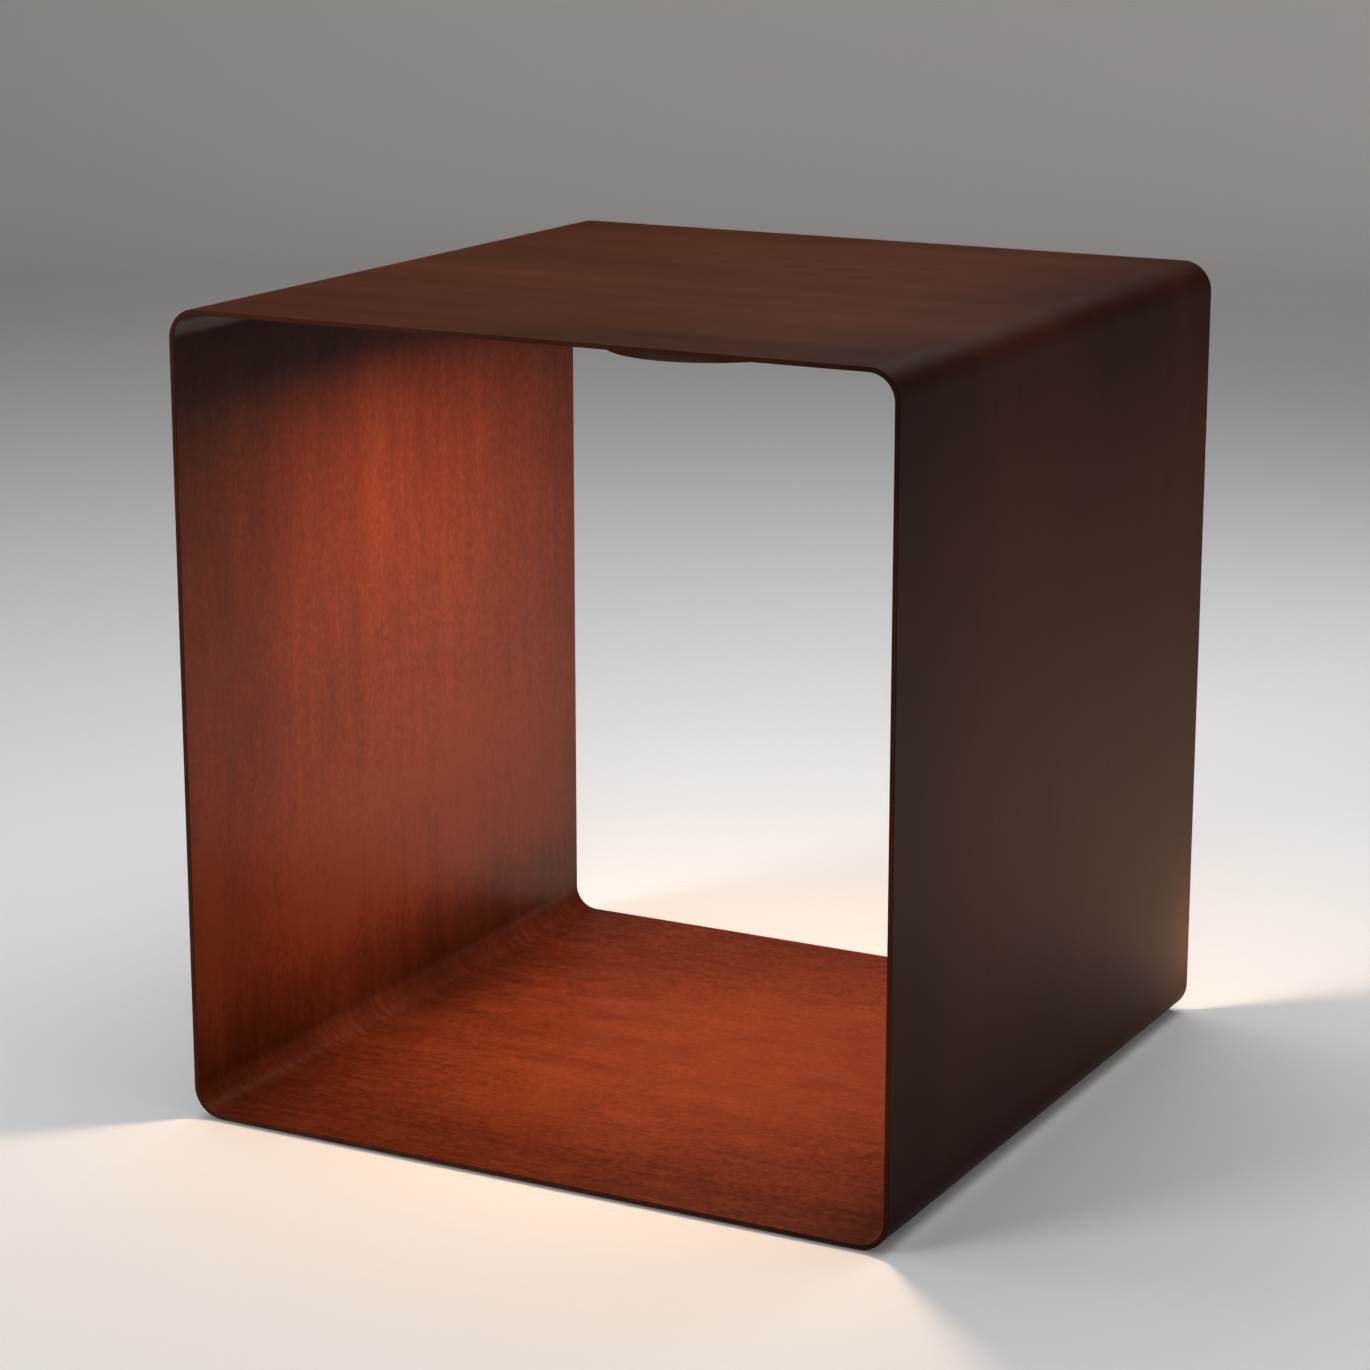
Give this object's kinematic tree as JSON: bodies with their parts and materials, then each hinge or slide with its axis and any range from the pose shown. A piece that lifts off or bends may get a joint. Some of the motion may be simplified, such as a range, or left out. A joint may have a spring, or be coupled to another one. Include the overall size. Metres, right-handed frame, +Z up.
{
  "type": "outdoor floor lamp",
  "caption": "Low outdoor floor lamp: a thin sheet bent into a closed square loop, open front and rear, with a shallow round LED head under its top that lights the inside and the ground.",
  "frame": {"origin": "on the ground under the middle of the lamp, at the foot pads' lower face", "axes": "+Z up, X across the loop from wall to wall, Y from the front opening at -Y to the rear opening at +Y, where the cable gland points"},
  "size_m": [0.375, 0.375, 0.4],
  "materials": {
    "oxide_lacquer": "satin",
    "cast_head": "satin",
    "epdm_rubber": "matte",
    "silicone": "matte",
    "zinc_steel": "satin",
    "tinned_copper": "satin",
    "board": "satin",
    "emitter": "gloss",
    "chip": "matte",
    "can_aluminium": "satin",
    "white_plastic": "satin",
    "earth_insulation": "satin",
    "gland_nylon": "satin",
    "opal": "satin"
  },
  "bodies": {
    "lamp": {"sheet_shell": "oxide_lacquer", "foot_pads": "epdm_rubber", "weld_studs": "zinc_steel", "stud_washers": "zinc_steel", "stud_nuts": "zinc_steel", "head_gasket": "epdm_rubber", "head_housing": "cast_head", "thermal_pad": "silicone", "led_board": "board", "led_emitters": "emitter", "driver_chips": "chip", "smoothing_capacitors": "can_aluminium", "surge_varistor": "chip", "line_fuse": "chip", "terminal_block": "white_plastic", "reflector": "white_plastic", "board_screws": "zinc_steel", "earth_tag": "tinned_copper", "earth_screw": "zinc_steel", "earth_lead": "earth_insulation", "gland_body": "gland_nylon", "gland_washer": "epdm_rubber", "gland_seal": "epdm_rubber", "gland_cap": "gland_nylon"},
    "bezel": {"bezel_ring": "cast_head", "bezel_gasket": "silicone", "diffuser": "opal", "diffuser_seal": "silicone", "retaining_ring": "zinc_steel"}
  },
  "joints": [
    {"name": "bezel_twist", "type": "hinge", "parent": "lamp", "child": "bezel", "pos_m": [0, 0, 0.374], "axis": [0, 0, -1], "range_deg": [0, 28]}
  ]
}
